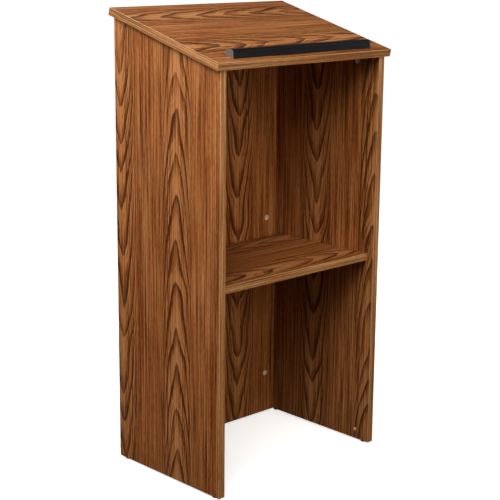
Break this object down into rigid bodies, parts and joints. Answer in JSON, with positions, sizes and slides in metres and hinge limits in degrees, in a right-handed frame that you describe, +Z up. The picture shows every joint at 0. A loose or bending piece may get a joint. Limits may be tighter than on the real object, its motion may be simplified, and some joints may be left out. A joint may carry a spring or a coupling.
{
  "type": "presentation lectern",
  "caption": "Full-height laminated lectern with a sloping reading top, book stop, fixed shelf and open speaker side, its panels drawn together by cam locks.",
  "frame": {"origin": "on the floor, under the centre of the lectern's outline", "axes": "+X to the right of the speaker, +Y away from the speaker towards the audience, +Z up"},
  "size_m": [0.593, 0.399, 1.168],
  "materials": {
    "laminate": "satin oak-look thermofused laminate",
    "edge_band": "satin oak-look edging",
    "book_stop": "satin black",
    "zinc": "die-cast zinc, slightly dull",
    "steel": "zinc plated",
    "dowel": "bare beech",
    "glide": "satin black nylon",
    "plug": "satin tan"
  },
  "bodies": {
    "carcass": {"top_board": "laminate", "top_front_edge_band": "edge_band", "top_rear_edge_band": "edge_band", "top_left_edge_band": "edge_band", "top_right_edge_band": "edge_band", "book_stop": "book_stop", "stop_screw_left": "steel", "stop_screw_middle": "steel", "stop_screw_right": "steel", "left_side_panel": "laminate", "left_side_front_edge_band": "edge_band", "left_side_rear_edge_band": "edge_band", "right_side_panel": "laminate", "right_side_front_edge_band": "edge_band", "right_side_rear_edge_band": "edge_band", "audience_panel": "laminate", "shelf": "laminate", "shelf_front_edge_band": "edge_band", "cam_bolt_audience_left_lower": "steel", "cam_bolt_audience_left_middle": "steel", "cam_bolt_audience_left_upper": "steel", "cam_bolt_top_left_front": "steel", "cam_bolt_top_left_rear": "steel", "cam_bolt_shelf_left_front": "steel", "cam_bolt_shelf_left_rear": "steel", "cam_bolt_audience_right_lower": "steel", "cam_bolt_audience_right_middle": "steel", "cam_bolt_audience_right_upper": "steel", "cam_bolt_top_right_front": "steel", "cam_bolt_top_right_rear": "steel", "cam_bolt_shelf_right_front": "steel", "cam_bolt_shelf_right_rear": "steel", "dowel_audience_left_lower": "dowel", "dowel_audience_left_upper": "dowel", "dowel_audience_right_lower": "dowel", "dowel_audience_right_upper": "dowel", "dowel_top_left": "dowel", "dowel_top_right": "dowel", "dowel_shelf_left": "dowel", "dowel_shelf_right": "dowel", "glide_left_front": "glide", "glide_left_rear": "glide", "glide_right_front": "glide", "glide_right_rear": "glide", "hole_plug_left": "plug", "hole_plug_right": "plug"},
    "cam_audience_left_lower": {"cam_drum_audience_left_lower": "zinc"},
    "cam_audience_left_middle": {"cam_drum_audience_left_middle": "zinc"},
    "cam_audience_left_upper": {"cam_drum_audience_left_upper": "zinc"},
    "cam_top_left_front": {"cam_drum_top_left_front": "zinc"},
    "cam_top_left_rear": {"cam_drum_top_left_rear": "zinc"},
    "cam_shelf_left_front": {"cam_drum_shelf_left_front": "zinc"},
    "cam_shelf_left_rear": {"cam_drum_shelf_left_rear": "zinc"},
    "cam_audience_right_lower": {"cam_drum_audience_right_lower": "zinc"},
    "cam_audience_right_middle": {"cam_drum_audience_right_middle": "zinc"},
    "cam_audience_right_upper": {"cam_drum_audience_right_upper": "zinc"},
    "cam_top_right_front": {"cam_drum_top_right_front": "zinc"},
    "cam_top_right_rear": {"cam_drum_top_right_rear": "zinc"},
    "cam_shelf_right_front": {"cam_drum_shelf_right_front": "zinc"},
    "cam_shelf_right_rear": {"cam_drum_shelf_right_rear": "zinc"}
  },
  "joints": [
    {"name": "turn_cam_audience_left_lower", "type": "hinge", "parent": "carcass", "child": "cam_audience_left_lower", "pos_m": [-0.2295, 0.17572, 0.12], "axis": [0, -1, 0], "range_deg": [0, 180]},
    {"name": "turn_cam_audience_left_middle", "type": "hinge", "parent": "carcass", "child": "cam_audience_left_middle", "pos_m": [-0.2295, 0.17572, 0.575], "axis": [0, -1, 0], "range_deg": [0, 180]},
    {"name": "turn_cam_audience_left_upper", "type": "hinge", "parent": "carcass", "child": "cam_audience_left_upper", "pos_m": [-0.2295, 0.17572, 1.03], "axis": [0, -1, 0], "range_deg": [0, 180]},
    {"name": "turn_cam_top_left_front", "type": "hinge", "parent": "carcass", "child": "cam_top_left_front", "pos_m": [-0.2635, -0.11576, 1.02997], "axis": [1, 0, 0], "range_deg": [0, 180]},
    {"name": "turn_cam_top_left_rear", "type": "hinge", "parent": "carcass", "child": "cam_top_left_rear", "pos_m": [-0.2635, 0.13981, 1.09845], "axis": [1, 0, 0], "range_deg": [0, 180]},
    {"name": "turn_cam_shelf_left_front", "type": "hinge", "parent": "carcass", "child": "cam_shelf_left_front", "pos_m": [-0.2295, -0.10578, 0.51], "axis": [0, 0, -1], "range_deg": [0, 180]},
    {"name": "turn_cam_shelf_left_rear", "type": "hinge", "parent": "carcass", "child": "cam_shelf_left_rear", "pos_m": [-0.2295, 0.09172, 0.51], "axis": [0, 0, -1], "range_deg": [0, 180]},
    {"name": "turn_cam_audience_right_lower", "type": "hinge", "parent": "carcass", "child": "cam_audience_right_lower", "pos_m": [0.2295, 0.17572, 0.12], "axis": [0, -1, 0], "range_deg": [0, 180]},
    {"name": "turn_cam_audience_right_middle", "type": "hinge", "parent": "carcass", "child": "cam_audience_right_middle", "pos_m": [0.2295, 0.17572, 0.575], "axis": [0, -1, 0], "range_deg": [0, 180]},
    {"name": "turn_cam_audience_right_upper", "type": "hinge", "parent": "carcass", "child": "cam_audience_right_upper", "pos_m": [0.2295, 0.17572, 1.03], "axis": [0, -1, 0], "range_deg": [0, 180]},
    {"name": "turn_cam_top_right_front", "type": "hinge", "parent": "carcass", "child": "cam_top_right_front", "pos_m": [0.2635, -0.11576, 1.02997], "axis": [-1, 0, 0], "range_deg": [0, 180]},
    {"name": "turn_cam_top_right_rear", "type": "hinge", "parent": "carcass", "child": "cam_top_right_rear", "pos_m": [0.2635, 0.13981, 1.09845], "axis": [-1, 0, 0], "range_deg": [0, 180]},
    {"name": "turn_cam_shelf_right_front", "type": "hinge", "parent": "carcass", "child": "cam_shelf_right_front", "pos_m": [0.2295, -0.10578, 0.51], "axis": [0, 0, -1], "range_deg": [0, 180]},
    {"name": "turn_cam_shelf_right_rear", "type": "hinge", "parent": "carcass", "child": "cam_shelf_right_rear", "pos_m": [0.2295, 0.09172, 0.51], "axis": [0, 0, -1], "range_deg": [0, 180]}
  ]
}
